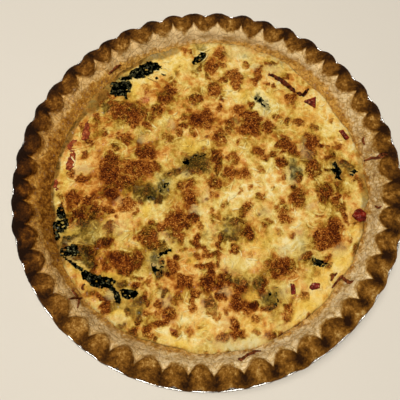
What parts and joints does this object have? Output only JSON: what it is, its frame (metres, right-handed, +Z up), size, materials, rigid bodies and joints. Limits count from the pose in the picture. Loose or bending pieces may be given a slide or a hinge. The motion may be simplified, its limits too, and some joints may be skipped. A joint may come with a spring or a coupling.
{
  "type": "quiche in its foil tin",
  "caption": "Round baked quiche in a shallow foil pie tin, with a pinched fluted pastry rim and a browned egg and cheese filling topped with wilted spinach and red pepper.",
  "frame": {"origin": "middle of the tin's underside, on the surface it stands on", "axes": "+Z up out of the filling; +Y towards the back of the quiche, away from the usual viewer, +X to the right"},
  "size_m": [0.229, 0.229, 0.0357],
  "materials": {
    "foil": "bright thin pressed foil, slightly crinkled",
    "pastry": "baked shortcrust pastry, pale inside, browned to dark brown on the fluted rim",
    "filling": "set egg and melted cheese with browned blisters, slightly oily",
    "spinach": "wilted, dark, damp leaf",
    "ham": "baked ham, moist",
    "pepper": "cooked red pepper, glossy skin",
    "onion": "dark roasted onion, slightly glossy"
  },
  "bodies": {
    "root": {"foil_tin": "foil", "pastry_case": "pastry", "filling": "filling", "spinach_back_left": "spinach", "spinach_rim_left": "spinach", "spinach_back": "spinach", "spinach_left_upper": "spinach", "spinach_left_lower": "spinach", "spinach_left_fold": "spinach", "spinach_strand": "spinach", "spinach_curl": "spinach", "spinach_middle": "spinach", "spinach_back_right": "spinach", "spinach_right": "spinach", "spinach_right_small": "spinach", "spinach_front_right": "spinach", "spinach_front": "spinach", "ham_left": "ham", "ham_back_left": "ham", "ham_rim": "ham", "pepper_wedge": "pepper", "pepper_sliver": "pepper", "pepper_front": "pepper", "pepper_front_right": "pepper", "pepper_round": "pepper", "onion_strip": "onion"}
  },
  "joints": []
}
